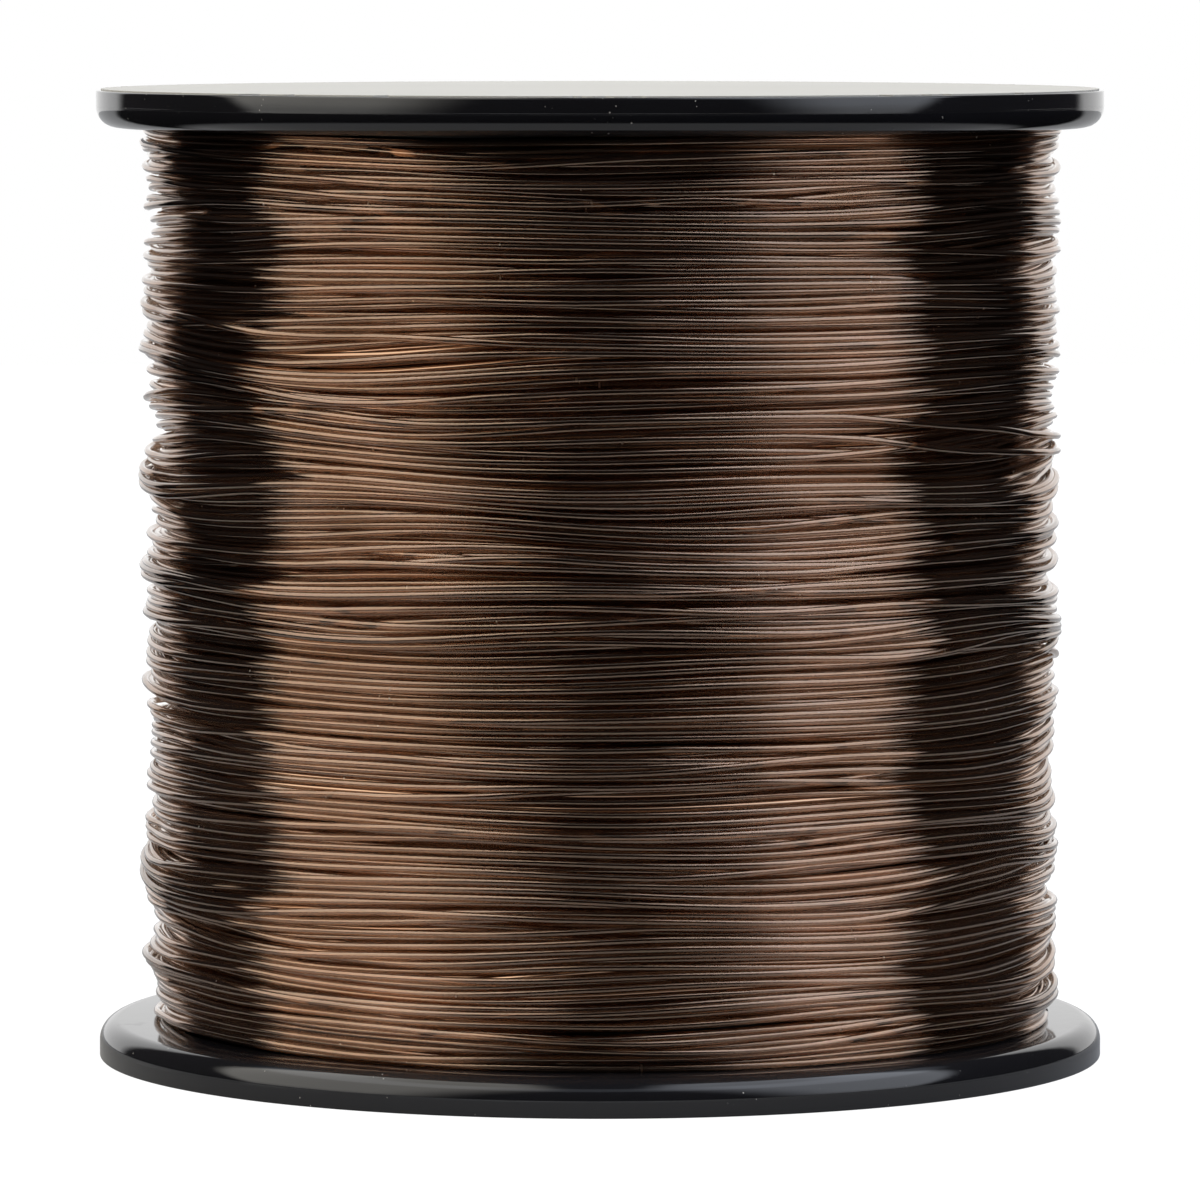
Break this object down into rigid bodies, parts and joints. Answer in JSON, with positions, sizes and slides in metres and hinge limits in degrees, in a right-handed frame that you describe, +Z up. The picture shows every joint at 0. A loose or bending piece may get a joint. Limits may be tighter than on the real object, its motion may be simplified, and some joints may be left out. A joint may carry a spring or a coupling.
{
  "type": "spool of monofilament line",
  "caption": "Black moulded flanged spool wound full with brown translucent nylon monofilament line, with a blank paper label over its top face.",
  "frame": {"origin": "middle of the lower flange's outer face, which the spool stands on", "axes": "+Z up along the spindle axis; -Y is the side seen from the front; the line's end is taped at +Y"},
  "size_m": [0.104, 0.104, 0.1001],
  "materials": {
    "flange_plastic": "injection-moulded black polystyrene, glossy",
    "barrel_plastic": "extruded black polystyrene tube",
    "adhesive_tape": "clear film with a faint yellow adhesive",
    "nylon_line": "drawn translucent brown nylon, smooth and shiny",
    "label_paper": "blank coated label paper"
  },
  "bodies": {
    "root": {"lower_flange": "flange_plastic", "upper_flange": "flange_plastic", "barrel": "barrel_plastic", "start_tape": "adhesive_tape", "packed_line": "nylon_line", "outer_turns": "nylon_line", "tail_tape": "adhesive_tape", "top_label": "label_paper"}
  },
  "joints": []
}
